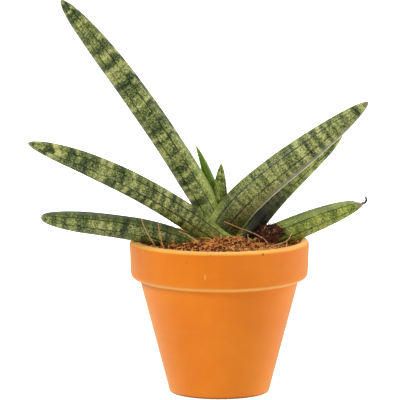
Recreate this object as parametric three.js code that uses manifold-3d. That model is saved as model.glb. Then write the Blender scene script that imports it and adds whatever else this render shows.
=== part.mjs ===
// A starfish snake plant in a clay pot: a fan of stout, cylindrical leaves on a short rhizome, with its
// fleshy roots in a filled, tapered pot that has a thick band round its rim. Millimetres, +Z up. The pot
// stands on Z = 0, the fan of leaves spreads along X, and the origin is under the middle of the whole
// plant's box. Inside this file everything is placed from the pot's axis; the last lines move it.
import * as THREE from "three";
import { mergeVertices } from "three/addons/utils/BufferGeometryUtils.js";
import Module from "manifold-3d";

const wasm = await Module();
wasm.setup();

// ---- Driving dimensions -------------------------------------------------------------------------

// The pot.
const POT_HEIGHT = 94;
const RIM_RADIUS = 55; // outside, at the lip
const BAND_HEIGHT = 25.2; // the thick band under the lip
const BAND_FOOT_RADIUS = 53.9; // outside, at the band's lower edge
const BODY_TOP_RADIUS = 48.4; // outside, where the body meets the band
const BASE_RADIUS = 30.2; // outside, on the ground
const WALL = 5; // measured level, from the body's outside to its inside
const FLOOR = 6;
const DRAIN_RADIUS = 6; // the hole in the middle of the floor
const LIP_ROUNDING = 1.6;
const BAND_FOOT_ROUNDING = 5;
const BAND_CREASE_ROUNDING = 1;
const BASE_ROUNDING = 3;
const FLOOR_ROUNDING = 4; // inside, between the floor and the wall
const POT_SEGMENTS = 56;

// The potting mix.
const MIX_BELOW_LIP = 3.2; // at the wall
const MIX_MOUND = 3.4; // how much higher it lies round the plant
const MIX_MOUND_RADIUS = 24;
const MIX_BUMP = 0.7;
const MIX_RINGS = 6; // rings of facets on its top
const MIX_SEGMENTS = 30;

// The plant's crown, from the pot's axis.
const CROWN_X = 4;
const CROWN_Y = 1;
const CROWN_BELOW_LIP = 6; // the top of the rhizome
const RHIZOME_RADIUS = 9.5;
const RHIZOME_LENGTH = 22;
const RHIZOME_SCAR = 0.6; // how deep the rings are that old leaves left on it

// Clearances.
const GAP = 0.3; // between two pieces that touch
const REST_GAP = 0.5; // under a leaf that rests on the lip

// Facets.
const LEAF_SIDES = 16;
const LEAF_STEPS = 14;
const RHIZOME_SEGMENTS = 16;
const RHIZOME_RINGS = 8;
const ROOT_SIDES = 6;
const FIBRE_SIDES = 5;

// The leaves, from the innermost to the outermost. Each one starts at its foot (from the crown, with z
// from the pot's lip) and runs along its azimuth, climbing at rise degrees at the foot and at tipRise at
// the tip. bend is how early it turns from one to the other. width is across the fan's plane, thick is
// in it, and sheath is how much wider the foot is, where it clasps the leaves inside it. point and
// blunt shape the tip: a higher point keeps the leaf full for longer, a higher blunt rounds its end.
const LEAVES = {
  leaf_young_back: {
    foot: [-0.2, 9, -4], azimuth: 170, rise: 84, tipRise: 64, bend: 1, length: 63,
    width: 9.6, thick: 7.8, sheath: 0, point: 1.6, blunt: 1.2,
  },
  leaf_young_centre: {
    foot: [-4.3, 5, -4], azimuth: 30, rise: 90, tipRise: 86, bend: 1, length: 50,
    width: 11.6, thick: 11.4, sheath: 0, point: 2.8, blunt: 1.4,
  },
  leaf_tall_left: {
    foot: [3.7, 0, -6], azimuth: 173, rise: 62, tipRise: 48.5, bend: 1, length: 184.5,
    width: 17.6, thick: 17.4, sheath: 0.5, point: 6, blunt: 1.8,
  },
  leaf_right_front: {
    foot: [-7.5, -2, -6.3], azimuth: -9, rise: 81.1, tipRise: 37.2, bend: 5, length: 135,
    width: 20.5, thick: 22.8, sheath: 1, point: 2.6, blunt: 1.8,
  },
  leaf_mid_left: {
    foot: [5, -5, -6.4], azimuth: 193, rise: 40.5, tipRise: 17, bend: 1, length: 147,
    width: 16.6, thick: 16.8, sheath: 2.2, point: 5, blunt: 1.7,
  },
  leaf_right_back: {
    foot: [5.2, 0, -5.8], azimuth: 12, rise: 59.9, tipRise: 35.4, bend: 1.5, length: 96.5,
    width: 16.5, thick: 16.8, sheath: 3, point: 4, blunt: 1.5,
  },
  leaf_low_right: {
    foot: [14.5, 1, -9], azimuth: 5, rise: 26.5, tipRise: 16, bend: 1, length: 75.4,
    width: 15.8, thick: 16.7, sheath: 0, point: 3.4, blunt: 1.7, restsOnLip: true,
  },
  leaf_low_left: {
    foot: [-7, -3, -10], azimuth: 189, rise: 40, tipRise: 7, bend: 3, length: 112,
    width: 15.8, thick: 15.8, sheath: 0, point: 5, blunt: 2.4, restsOnLip: true,
  },
};
const FOOT_TAPER = 0.12; // how much slimmer a leaf is at its foot
const FOOT_SHARE = 0.3; // the share of its length over which it fills out
const CHANNEL_DEPTH = 0.16; // of the half thickness, on the side that faces the fan's middle
const CHANNEL_WIDTH = 0.9; // radians each way from the middle of that side

// ---- Helpers ------------------------------------------------------------------------------------

const radians = THREE.MathUtils.degToRad;
const clamp = THREE.MathUtils.clamp;

// A repeatable scatter in 0..1 for a whole number and a purpose.
function scatter(index, purpose) {
  const wave = Math.sin(index * 127.1 + purpose * 311.7) * 43758.5453;
  return wave - Math.floor(wave);
}

// A THREE geometry as a manifold-3d solid.
function solidOf(geometry) {
  const bare = new THREE.BufferGeometry().setAttribute("position", geometry.getAttribute("position"));
  if (geometry.index) bare.setIndex(geometry.index);
  const merged = mergeVertices(bare, 1e-3);
  return new wasm.Manifold(
    new wasm.Mesh({
      numProp: 3,
      vertProperties: merged.getAttribute("position").array,
      triVerts: new Uint32Array(merged.index.array),
    }),
  );
}

function geometryOf(solid) {
  const mesh = solid.getMesh();
  return new THREE.BufferGeometry()
    .setAttribute("position", new THREE.BufferAttribute(new Float32Array(mesh.vertProperties), 3))
    .setIndex(new THREE.BufferAttribute(new Uint32Array(mesh.triVerts), 1));
}

// The solid less all the others. A cut can leave crumbs beside the piece, so only the piece stays.
function trim(solid, others) {
  const cut = others.reduce((left, other) => left.subtract(other), solid);
  return cut.decompose().reduce((most, body) => (body.volume() > most.volume() ? body : most));
}

// A closed outline with its corners rounded. Each corner is [x, y, rounding].
function roundedOutline(corners, stepsPerCorner = 4) {
  const points = [];
  corners.forEach(([x, y, rounding], i) => {
    const here = new THREE.Vector2(x, y);
    if (!rounding) {
      points.push(here);
      return;
    }
    const [beforeX, beforeY] = corners[(i + corners.length - 1) % corners.length];
    const [afterX, afterY] = corners[(i + 1) % corners.length];
    const back = new THREE.Vector2(beforeX, beforeY).sub(here).normalize();
    const on = new THREE.Vector2(afterX, afterY).sub(here).normalize();
    const half = Math.acos(clamp(back.dot(on), -1, 1)) / 2;
    const start = here.clone().addScaledVector(back, rounding / Math.tan(half));
    const end = here.clone().addScaledVector(on, rounding / Math.tan(half));
    const toCentre = back.clone().add(on).normalize();
    const centre = here.clone().addScaledVector(toCentre, rounding / Math.sin(half));
    const from = start.clone().sub(centre);
    const turn = Math.atan2(from.cross(end.clone().sub(centre)), from.dot(end.clone().sub(centre)));
    for (let step = 0; step <= stepsPerCorner; step++) {
      const spoke = from.clone().rotateAround(new THREE.Vector2(), (turn * step) / stepsPerCorner);
      points.push(centre.clone().add(spoke));
    }
  });
  return points;
}

// A solid of revolution about Z from an outline of (radius, height) points, which starts and ends on the
// axis or is closed on itself.
function turned(outline, segments) {
  return new THREE.LatheGeometry(outline, segments).rotateX(Math.PI / 2);
}

const closed = (outline) => [...outline, outline[0].clone()];

// A closed skin over rings of points that all have as many points, with a flat or pointed end at each.
function skinned(rings) {
  const sides = rings[0].length;
  const middle = (ring) => ring.reduce((sum, p) => sum.add(p), new THREE.Vector3()).divideScalar(sides);
  const points = [...rings.flat(), middle(rings[0]), middle(rings.at(-1))];
  const faces = [];
  const first = rings.length * sides;
  const last = (rings.length - 1) * sides;
  for (let side = 0; side < sides; side++) {
    const next = (side + 1) % sides;
    faces.push(first, next, side, first + 1, last + side, last + next);
    for (let start = 0; start < last; start += sides) {
      faces.push(start + side, start + next, start + sides + side);
      faces.push(start + next, start + sides + next, start + sides + side);
    }
  }
  return new THREE.BufferGeometry().setFromPoints(points).setIndex(faces);
}

// A round tube along points, with a radius at each, that starts and ends in a flat face.
function tube(points, radiusAt, sides) {
  const curve = new THREE.CatmullRomCurve3(points);
  const steps = 3 * (points.length - 1);
  const frames = curve.computeFrenetFrames(steps);
  const rings = Array.from({ length: steps + 1 }, (_, step) => {
    const centre = curve.getPointAt(step / steps);
    return Array.from({ length: sides }, (_, side) => {
      const angle = (2 * Math.PI * side) / sides;
      return centre
        .clone()
        .addScaledVector(frames.normals[step], radiusAt(step / steps) * Math.cos(angle))
        .addScaledVector(frames.binormals[step], radiusAt(step / steps) * Math.sin(angle));
    });
  });
  return skinned(rings);
}

// ---- Pot ----------------------------------------------------------------------------------------

const bandFoot = POT_HEIGHT - BAND_HEIGHT;
const bodySlope = (BODY_TOP_RADIUS - BASE_RADIUS) / bandFoot; // outward per millimetre up
const insideRadius = (z) => BASE_RADIUS - WALL + bodySlope * z;

// The pot. swell thickens it inwards and upwards, for a cut that keeps clear of it.
function potSolid(swell = 0) {
  const lip = POT_HEIGHT + swell;
  return solidOf(
    turned(
      closed(
        roundedOutline([
          [DRAIN_RADIUS, 0, 0],
          [BASE_RADIUS, 0, BASE_ROUNDING],
          [BODY_TOP_RADIUS, bandFoot, BAND_CREASE_ROUNDING],
          [BAND_FOOT_RADIUS, bandFoot, BAND_FOOT_ROUNDING],
          [RIM_RADIUS, lip, LIP_ROUNDING],
          [insideRadius(lip) - swell, lip, LIP_ROUNDING],
          [insideRadius(FLOOR) - swell, FLOOR + swell, FLOOR_ROUNDING],
          [DRAIN_RADIUS, FLOOR + swell, 0],
        ]),
      ),
      POT_SEGMENTS,
    ),
  );
}

// ---- Leaves -------------------------------------------------------------------------------------

const crown = new THREE.Vector3(CROWN_X, CROWN_Y, POT_HEIGHT);

// Half of a leaf's size across at a share of its length, before its width or thickness.
function fullness(leaf, share) {
  const filling = FOOT_TAPER * (1 - THREE.MathUtils.smoothstep(share, 0, FOOT_SHARE));
  return (1 - filling) * Math.pow(1 - Math.pow(share, leaf.point), 1 / leaf.blunt);
}

// A leaf's centre line: {at, along, across, up} at even steps, where up is its channelled side.
function leafLine(leaf, steps) {
  const heading = radians(leaf.azimuth);
  const across = new THREE.Vector3(Math.sin(heading), -Math.cos(heading), 0);
  const at = new THREE.Vector3(...leaf.foot).add(crown);
  return Array.from({ length: steps + 1 }, (_, step) => {
    const share = step / steps;
    const climb = radians(leaf.tipRise + (leaf.rise - leaf.tipRise) * Math.pow(1 - share, leaf.bend));
    const along = new THREE.Vector3(
      Math.cos(heading) * Math.cos(climb),
      Math.sin(heading) * Math.cos(climb),
      Math.sin(climb),
    );
    if (step) at.addScaledVector(along, leaf.length / steps);
    return { share, at: at.clone(), along, across, up: across.clone().cross(along) };
  });
}

// The leaf's outline at one place on its centre line, grown by swell all round.
function leafRing(leaf, place, swell) {
  const full = fullness(leaf, place.share);
  const clasp = leaf.sheath * Math.pow(Math.max(0, 1 - place.share / FOOT_SHARE), 2);
  const halfWidth = (full * leaf.width) / 2 + clasp + swell;
  const halfThick = (full * leaf.thick) / 2 + swell;
  return Array.from({ length: LEAF_SIDES }, (_, side) => {
    const angle = (2 * Math.PI * side) / LEAF_SIDES;
    const fromTop = Math.abs(THREE.MathUtils.euclideanModulo(angle + Math.PI, 2 * Math.PI) - Math.PI);
    const channel = Math.pow(Math.cos(Math.min(fromTop / CHANNEL_WIDTH, 1) * (Math.PI / 2)), 2);
    return place.at
      .clone()
      .addScaledVector(place.across, halfWidth * Math.sin(angle))
      .addScaledVector(place.up, halfThick * (Math.cos(angle) - CHANNEL_DEPTH * channel));
  });
}

// The rings are closer together towards the tip, where the outline turns fastest.
function leafSolid(leaf, swell = 0) {
  const fine = 12 * LEAF_STEPS;
  const line = leafLine(leaf, fine);
  const rings = Array.from({ length: LEAF_STEPS + 1 }, (_, step) => {
    const share = 1 - Math.pow(1 - step / LEAF_STEPS, 1.5);
    return leafRing(leaf, line[Math.round(Math.min(share, 1 - 1 / fine) * fine)], swell);
  });
  const end = line.at(-1);
  const tip = end.at.clone().addScaledVector(end.along, swell);
  rings.push(rings[0].map(() => tip.clone()));
  return solidOf(skinned(rings));
}

// The height of the lip's rounded top at a distance from the axis.
function lipHeight(reach) {
  const fromEdge = Math.min(reach - insideRadius(POT_HEIGHT), RIM_RADIUS - reach);
  if (fromEdge < 0) return -Infinity;
  const back = Math.max(LIP_ROUNDING - fromEdge, 0);
  return POT_HEIGHT - LIP_ROUNDING + Math.sqrt(LIP_ROUNDING ** 2 - back ** 2);
}

// How far a leaf has to be raised to lie on the pot's lip.
function liftToLip(leaf) {
  const lifts = leafLine(leaf, 400).flatMap((place) =>
    leafRing(leaf, place, 0).map(({ x, y, z }) => lipHeight(Math.hypot(x, y)) + REST_GAP - z),
  );
  return Math.max(...lifts);
}

for (const leaf of Object.values(LEAVES)) {
  if (leaf.restsOnLip) leaf.foot[2] += liftToLip(leaf);
}

// ---- Rhizome and roots --------------------------------------------------------------------------

const rhizomeTop = POT_HEIGHT - CROWN_BELOW_LIP;

// A stubby stem with the rings that old leaves left on it.
function rhizomeSolid(swell = 0) {
  const half = RHIZOME_LENGTH / 2 + swell;
  const outline = Array.from({ length: RHIZOME_RINGS - 1 }, (_, ring) => {
    const angle = (Math.PI * (ring + 1)) / RHIZOME_RINGS - Math.PI / 2;
    const scar = ring % 2 ? RHIZOME_SCAR : 0;
    const radius = RHIZOME_RADIUS * Math.pow(Math.cos(angle), 0.6) - scar + swell;
    return new THREE.Vector2(radius, half * Math.sin(angle));
  });
  const ends = [new THREE.Vector2(0, -half), new THREE.Vector2(0, half)];
  const geometry = turned([ends[0], ...outline, ends[1]], RHIZOME_SEGMENTS);
  return solidOf(geometry.translate(CROWN_X, CROWN_Y, rhizomeTop - RHIZOME_LENGTH / 2));
}

// Fleshy roots leave the rhizome's lower half all round and go down through the mix.
const ROOT_COUNT = 7;
const ROOT_RADIUS = 1.3;
const ROOT_TIP_RADIUS = 0.7;
const ROOT_ABOVE_FLOOR = 9;
const ROOT_FROM_WALL = 6;

function rootSolid(index, swell = 0) {
  const heading = (2 * Math.PI * (index + 0.35 * scatter(index, 1))) / ROOT_COUNT;
  const room = rhizomeTop - RHIZOME_LENGTH - FLOOR - ROOT_ABOVE_FLOOR;
  const depth = room * (0.6 + 0.4 * scatter(index, 2));
  const start = new THREE.Vector3(CROWN_X, CROWN_Y, rhizomeTop - RHIZOME_LENGTH * 0.7);
  const end = new THREE.Vector3(0, 0, rhizomeTop - RHIZOME_LENGTH - depth);
  const reach = insideRadius(end.z) - ROOT_FROM_WALL;
  end.x = reach * Math.cos(heading);
  end.y = reach * Math.sin(heading);
  const shoulder = start.clone().lerp(end, 0.45);
  shoulder.z = start.z - 0.12 * depth;
  const knee = start.clone().lerp(end, 0.8);
  knee.z = start.z - 0.5 * (start.z - end.z);
  const radiusAt = (share) => THREE.MathUtils.lerp(ROOT_RADIUS, ROOT_TIP_RADIUS, share) + swell;
  return solidOf(tube([start, shoulder, knee, end], radiusAt, ROOT_SIDES));
}

// ---- Potting mix --------------------------------------------------------------------------------

const mixEdge = POT_HEIGHT - MIX_BELOW_LIP;
const mixEdgeRadius = insideRadius(mixEdge) - GAP;

// The height of the mix's top at a place.
function mixTop(x, y) {
  const fromEdge = 1 - Math.pow(Math.min(1, Math.hypot(x, y) / mixEdgeRadius), 4);
  const fromCrown = Math.hypot(x - CROWN_X, y - CROWN_Y) / MIX_MOUND_RADIUS;
  const bumps = Math.sin(0.31 * x + 0.9) * Math.cos(0.27 * y - 0.4) + Math.sin(0.19 * (x + 2 * y));
  return mixEdge + fromEdge * (MIX_MOUND * Math.exp(-fromCrown * fromCrown) + MIX_BUMP * bumps);
}

function mixSolid() {
  const bottom = FLOOR + GAP;
  const side = (z) => insideRadius(z) - GAP;
  const outline = [
    new THREE.Vector2(0, bottom),
    new THREE.Vector2(side(bottom) - FLOOR_ROUNDING, bottom),
    new THREE.Vector2(side(bottom + FLOOR_ROUNDING), bottom + FLOOR_ROUNDING),
  ];
  for (let ring = MIX_RINGS; ring >= 0; ring--) {
    outline.push(new THREE.Vector2((mixEdgeRadius * ring) / MIX_RINGS, mixEdge));
  }
  const geometry = turned(outline, MIX_SEGMENTS);
  const position = geometry.getAttribute("position");
  for (let i = 0; i < position.count; i++) {
    const onTop = position.getZ(i) > mixEdge - GAP;
    if (onTop) position.setZ(i, mixTop(position.getX(i), position.getY(i)));
  }
  return solidOf(geometry);
}

// ---- Bark chips and coir fibres on top of the mix ------------------------------------------------

const CHIPS_IN_FRONT = 7;
const CHIPS_BEHIND = 7;
const CHIPS_FROM_WALL = 12; // from the mix's edge to the middle of the chips' row
const CHIP_ROW_WIDTH = 8;
const CHIP_SIZE = 4.6; // the mean length of a chip
const CHIP_RISE = 0.7; // the middle of a chip over the mix
const FRONT_ARC = [228, 312]; // degrees about the pot's axis, clear of the leaves
const BACK_ARC = [42, 138];

// A split bark chip: a short, uneven bar that is bedded in the mix.
function chipSolid(index, arc, place) {
  const heading = radians(THREE.MathUtils.lerp(arc[0], arc[1], place));
  const radius = mixEdgeRadius - CHIPS_FROM_WALL + CHIP_ROW_WIDTH * (scatter(index, 3) - 0.5);
  const length = CHIP_SIZE * (0.8 + 0.5 * scatter(index, 4));
  const rings = [-0.5, -0.3, 0.25, 0.5].map((share, ring) => {
    const half = length * (ring % 3 ? 0.27 : 0.16) * (0.8 + 0.4 * scatter(index, 5 + ring));
    return Array.from({ length: 5 }, (_, side) => {
      const angle = (2 * Math.PI * side) / 5 + scatter(index, 9);
      const y = half * Math.cos(angle);
      return new THREE.Vector3(share * length, y, 0.55 * half * Math.sin(angle));
    });
  });
  const geometry = skinned(rings)
    .rotateY(radians(16 * (scatter(index, 10) - 0.5)))
    .rotateZ(2 * Math.PI * scatter(index, 11))
    .translate(radius * Math.cos(heading), radius * Math.sin(heading), 0);
  const bed = mixTop(radius * Math.cos(heading), radius * Math.sin(heading)) + CHIP_RISE;
  return trim(solidOf(geometry.translate(0, 0, bed)), [raisedMix]);
}

// A loose piece's place: z from the lip, and x and y from the pot's axis on a mix of PLACED_ON_RADIUS.
const PLACED_ON_RADIUS = 49;
function onMix([x, y, z]) {
  const spread = mixEdgeRadius / PLACED_ON_RADIUS;
  return new THREE.Vector3(x * spread, y * spread, POT_HEIGHT + z);
}

// The mix moved up by the gap that what lies on it keeps.
const raisedMix = mixSolid().translate(0, 0, GAP);

// The dry heap of coir that leans on the foot of the low right leaf.
const HEAP_CENTRE = [30.5, -6, 3.2]; // as a fibre's point
const HEAP_SIZE = [10, 8, 6]; // half of its length, depth and height

function heapSolid() {
  const sphere = new THREE.IcosahedronGeometry(1, 2);
  const ball = mergeVertices(sphere.deleteAttribute("normal").deleteAttribute("uv"));
  const position = ball.getAttribute("position");
  const point = new THREE.Vector3();
  for (let i = 0; i < position.count; i++) {
    point.fromBufferAttribute(position, i).multiplyScalar(0.88 + 0.24 * scatter(i, 12));
    position.setXYZ(i, point.x, point.y, point.z);
  }
  ball.scale(...HEAP_SIZE).rotateY(radians(-24));
  const centre = onMix(HEAP_CENTRE);
  return solidOf(ball.translate(centre.x, centre.y, centre.z));
}

// Loose coir fibres that stick out of the mix.
const FIBRE_RADIUS = 0.38;
const FIBRE_TIP_RADIUS = 0.2;
const FIBRES = [
  [[-37, -23, -5], [-40.5, -22, 1.5], [-44, -22, 7], [-46.5, -22, 12.5], [-48.5, -22, 18], [-55, -22, 28]],
  [[-33, -25, -5], [-35, -25.5, 2], [-36.5, -25, 8], [-37.5, -24.5, 14]],
  [[-10, -21, -4], [-14, -20.5, 2], [-19, -20, 5.5], [-25, -21, 8]],
  [[31, -17, -4], [27, -18, 3], [18, -19, 7.5], [9, -18, 11], [3, -16, 13.5]],
  [[18, -20, -5], [17.6, -20.5, 1.5], [17.2, -19.8, 6]],
  [[27, -22, -5], [33, -22, -0.5], [40, -20, 1.5], [44, -17, 6]],
  [[39, -19, -6], [40.5, -20, -2], [41, -19.6, 1.4]],
  [[-8, 30, -5], [-12, 33, 3], [-20, 36, 7], [-27, 36, 5], [-31, 33, -4]],
  [[14, 34, -5], [18, 37, 3], [25, 38, 8], [30, 36, 13]],
];

function fibreSolid(points, swell = 0) {
  const radiusAt = (share) => THREE.MathUtils.lerp(FIBRE_RADIUS, FIBRE_TIP_RADIUS, share) + swell;
  return solidOf(tube(points.map(onMix), radiusAt, FIBRE_SIDES));
}

// ---- Materials ----------------------------------------------------------------------------------

const material = (color, roughness) => new THREE.MeshStandardMaterial({ color, roughness, metalness: 0 });
const TERRACOTTA = material(0xd97a2e, 0.75);
const LEAF_GREEN = material(0x6b7a3c, 0.5);
const YOUNG_GREEN = material(0x5f8a26, 0.45);
const RHIZOME_CREAM = material(0xc9a86a, 0.8);
const COIR_BROWN = material(0x8a4f26, 0.95);
const BARK_BROWN = material(0xa8642f, 0.9);
const FIBRE_TAN = material(0xcfa878, 0.8);

// ---- Assembly -----------------------------------------------------------------------------------

const plant = new THREE.Group();

function add(name, solid, finish) {
  const mesh = new THREE.Mesh(geometryOf(solid), finish);
  mesh.name = name;
  plant.add(mesh);
}

const numbered = (stem, index) => `${stem}_${String(index + 1).padStart(2, "0")}`;

const grownPot = potSolid(GAP);
add("terracotta_pot", potSolid(), TERRACOTTA);
const grownRhizome = rhizomeSolid(GAP);
add("rhizome", rhizomeSolid(), RHIZOME_CREAM);

// Each leaf clasps the ones inside it, so it's cut by those that came before it.
const grownLeaves = [];
for (const [name, leaf] of Object.entries(LEAVES)) {
  const finish = name.includes("young") ? YOUNG_GREEN : LEAF_GREEN;
  add(name, trim(leafSolid(leaf), [grownRhizome, ...grownLeaves]), finish);
  grownLeaves.push(leafSolid(leaf, GAP));
}

const grownRoots = [];
for (let index = 0; index < ROOT_COUNT; index++) {
  add(numbered("root", index), trim(rootSolid(index), [grownRhizome, ...grownRoots]), RHIZOME_CREAM);
  grownRoots.push(rootSolid(index, GAP));
}

const grownFibres = [];
FIBRES.forEach((points, index) => {
  const others = [grownPot, ...grownLeaves, ...grownFibres];
  add(numbered("coir_fibre", index), trim(fibreSolid(points), others), FIBRE_TAN);
  grownFibres.push(fibreSolid(points, GAP));
});

const aroundHeap = [grownPot, raisedMix, ...grownLeaves, ...grownFibres];
add("coir_heap", trim(heapSolid(), aroundHeap), COIR_BROWN);

const buried = [grownRhizome, ...grownLeaves, ...grownRoots, ...grownFibres];
add("potting_mix", trim(mixSolid(), buried), COIR_BROWN);

for (let place = 0; place < CHIPS_IN_FRONT; place++) {
  add(numbered("bark_chip", place), chipSolid(place, FRONT_ARC, place / (CHIPS_IN_FRONT - 1)), BARK_BROWN);
}
for (let place = 0; place < CHIPS_BEHIND; place++) {
  const index = CHIPS_IN_FRONT + place;
  add(numbered("bark_chip", index), chipSolid(index, BACK_ARC, place / (CHIPS_BEHIND - 1)), BARK_BROWN);
}

// The origin is under the middle of the plant's box.
const middle = new THREE.Box3().setFromObject(plant).getCenter(new THREE.Vector3());
plant.position.set(-middle.x, -middle.y, 0);

export default plant;
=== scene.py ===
"""A starfish snake plant in a clay pot: stout banded leaves, a terracotta pot, and a coir and bark mix.

Lengths are in millimetres from the pot's axis and the ground until a mesh is made, which puts them into
the frame in metres.
"""

import math
import random

import bmesh
import bpy
import numpy as np
from mathutils import Matrix, Vector, noise
from mathutils.bvhtree import BVHTree


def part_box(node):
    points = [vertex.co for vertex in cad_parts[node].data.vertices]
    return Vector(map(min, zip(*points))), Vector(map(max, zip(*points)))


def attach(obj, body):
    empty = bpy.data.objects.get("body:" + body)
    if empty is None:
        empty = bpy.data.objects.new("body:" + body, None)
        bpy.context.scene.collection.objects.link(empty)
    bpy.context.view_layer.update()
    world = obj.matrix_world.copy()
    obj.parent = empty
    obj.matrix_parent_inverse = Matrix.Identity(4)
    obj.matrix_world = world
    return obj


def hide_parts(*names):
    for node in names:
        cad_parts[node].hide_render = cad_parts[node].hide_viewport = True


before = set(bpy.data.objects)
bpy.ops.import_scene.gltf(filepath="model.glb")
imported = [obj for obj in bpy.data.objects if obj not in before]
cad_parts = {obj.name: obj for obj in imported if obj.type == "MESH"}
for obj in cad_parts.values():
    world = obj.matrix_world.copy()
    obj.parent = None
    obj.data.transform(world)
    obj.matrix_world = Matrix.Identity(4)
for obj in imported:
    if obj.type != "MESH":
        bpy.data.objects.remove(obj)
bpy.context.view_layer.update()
MM = 0.001

# ---- Places and sizes from the frame ----

POT_LOW, POT_HIGH = (np.array(corner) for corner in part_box("terracotta_pot"))
AXIS = (POT_LOW + POT_HIGH) / 2 * (1, 1, 0)  # the pot's axis on the ground, in metres
POT_HEIGHT = POT_HIGH[2] / MM
RIM_RADIUS = (POT_HIGH[0] - POT_LOW[0]) / 2 / MM

# ---- Sizes of the CAD model that the frame's boxes don't give ----

BAND_HEIGHT = 25.2
BAND_FOOT_RADIUS = 53.9
BODY_TOP_RADIUS = 48.4
BASE_RADIUS = 30.2
WALL = 5
FLOOR = 6
DRAIN_RADIUS = 6
LIP_ROUNDING = 1.6
FLOOR_ROUNDING = 4
MIX_BELOW_LIP = 3.2
MIX_MOUND = 3.4
MIX_MOUND_RADIUS = 24
MIX_BUMP = 0.7
GAP = 0.3

# Loose coir is pushed up in front of the leaves, over the plain top that the CAD model has.
PILE_CENTRE = (2, -17)
PILE_REACH = (27, 12)
PILE_HEIGHT = 4.5

CROWN = np.array((4, 1, POT_HEIGHT))  # where the leaves start from

# The leaves' shapes, as in the CAD model but for the young back leaf, which is stouter here, and the nick.
# A leaf's foot is from the crown. It climbs at rise degrees there and at tip_rise at its tip, and bend
# says how early it turns. width is across the fan's plane, thick is in it, sheath is how much wider the
# clasping foot is, and point and blunt shape the tip. A leaf that rests on the lip is moved up or down to
# it. nick is the share of the way along from where the tip has lost its upper side.
LEAVES = {
    "leaf_young_back": dict(
        foot=(-1.4, 9, -4), azimuth=170, rise=84, tip_rise=64, bend=1, length=63,
        width=9.6, thick=9.6, sheath=0, point=2.2, blunt=1.3,
    ),
    "leaf_young_centre": dict(
        foot=(-4.3, 5, -4), azimuth=30, rise=90, tip_rise=86, bend=1, length=50,
        width=11.6, thick=11.4, sheath=0, point=2.8, blunt=1.4,
    ),
    "leaf_tall_left": dict(
        foot=(3.7, 0, -6), azimuth=173, rise=62, tip_rise=48.5, bend=1, length=184.5,
        width=17.6, thick=17.4, sheath=0.5, point=6, blunt=1.8,
    ),
    "leaf_right_front": dict(
        foot=(-7.5, -2, -6.3), azimuth=-9, rise=81.1, tip_rise=37.2, bend=5, length=135,
        width=20.5, thick=22.8, sheath=1, point=2.6, blunt=1.8,
    ),
    "leaf_mid_left": dict(
        foot=(5, -5, -6.4), azimuth=193, rise=40.5, tip_rise=17, bend=1, length=147,
        width=16.6, thick=16.8, sheath=2.2, point=5, blunt=1.7,
    ),
    "leaf_right_back": dict(
        foot=(5.2, 0, -5.8), azimuth=12, rise=59.9, tip_rise=35.4, bend=1.5, length=96.5,
        width=16.5, thick=16.8, sheath=3, point=4, blunt=1.5,
    ),
    "leaf_low_right": dict(
        foot=(14.5, 1, -9), azimuth=5, rise=26.5, tip_rise=16, bend=1, length=75.4,
        width=15.8, thick=16.7, sheath=0, point=3.4, blunt=1.7, rests_on_lip=True, nick=0.925,
    ),
    "leaf_low_left": dict(
        foot=(-7, -3, -10), azimuth=189, rise=40, tip_rise=7, bend=3, length=112,
        width=15.8, thick=15.8, sheath=0, point=5, blunt=2.4, rests_on_lip=True,
    ),
}

# The leaves' looks. young runs from 0, grown, to 1, fresh green, and dry is how many millimetres of the tip
# are withered. tone lightens the markings, and bands is how strongly they cross the leaf. Up to base_end
# millimetres along, they fade into a mottle of base and base_pale, and up to painted_highlight millimetres
# the side that faces the crown carries a painted highlight. top is a painted colour of the upper side:
# reflected sheen on the low right leaf, shade on the low left one. margin is the place of the channel's pale
# edge round the leaf in degrees, where there is one.
PLAIN_SKIN = dict(
    young=0, dry=2, tone=0.0, bands=0.85, base=(48, 66, 14), base_pale=(122, 138, 52), base_end=50, painted_highlight=36,
    top=None, margin=None,
)
SKINS = {
    "leaf_young_back": dict(young=1, dry=0.8),
    "leaf_young_centre": dict(young=0.3, dry=0.5, base=(70, 92, 26), base_pale=(140, 156, 66)),
    "leaf_tall_left": dict(tone=-0.006, painted_highlight=84, base=(92, 112, 38), base_pale=(192, 202, 112)),
    # The right front leaf's near-black foot colours are painted shade.
    "leaf_right_front": dict(
        dry=2.5, tone=0.009, margin=168, base=(6, 9, 2), base_pale=(84, 92, 34), base_end=58,
    ),
    "leaf_mid_left": dict(dry=2.5, tone=-0.003, base=(50, 66, 12), base_pale=(136, 148, 52)),
    # The right back leaf's near-black foot colours are painted shade, deep where it stands behind the right
    # front leaf.
    "leaf_right_back": dict(young=0.25, base=(2, 3, 1), base_pale=(10, 13, 5), base_end=76),
    # The low right leaf's top is painted grey-green for the sheen reflected on its upper side.
    "leaf_low_right": dict(
        young=0.55, dry=6, tone=0.012, bands=0.35,
        top=(142, 154, 104), base=(96, 116, 34), base_pale=(150, 164, 64),
    ),
    # The low left leaf's top is painted dark for the shade on its upper side.
    "leaf_low_left": dict(
        tone=-0.006, bands=0.5, top=(66, 78, 50), base=(52, 58, 10), base_pale=(100, 104, 24),
    ),
}
FOOT_TAPER = 0.12  # how much slimmer a leaf's foot is, over its first FOOT_SHARE
FOOT_SHARE = 0.3
CHANNEL_DEPTH = 0.16  # of half the thickness
CHANNEL_WIDTH = 0.9  # radians to either side of the leaf's top
REST_GAP = 0.1  # from the lip to a leaf that rests on it

# ---- Fine sizes that only show here ----

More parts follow.
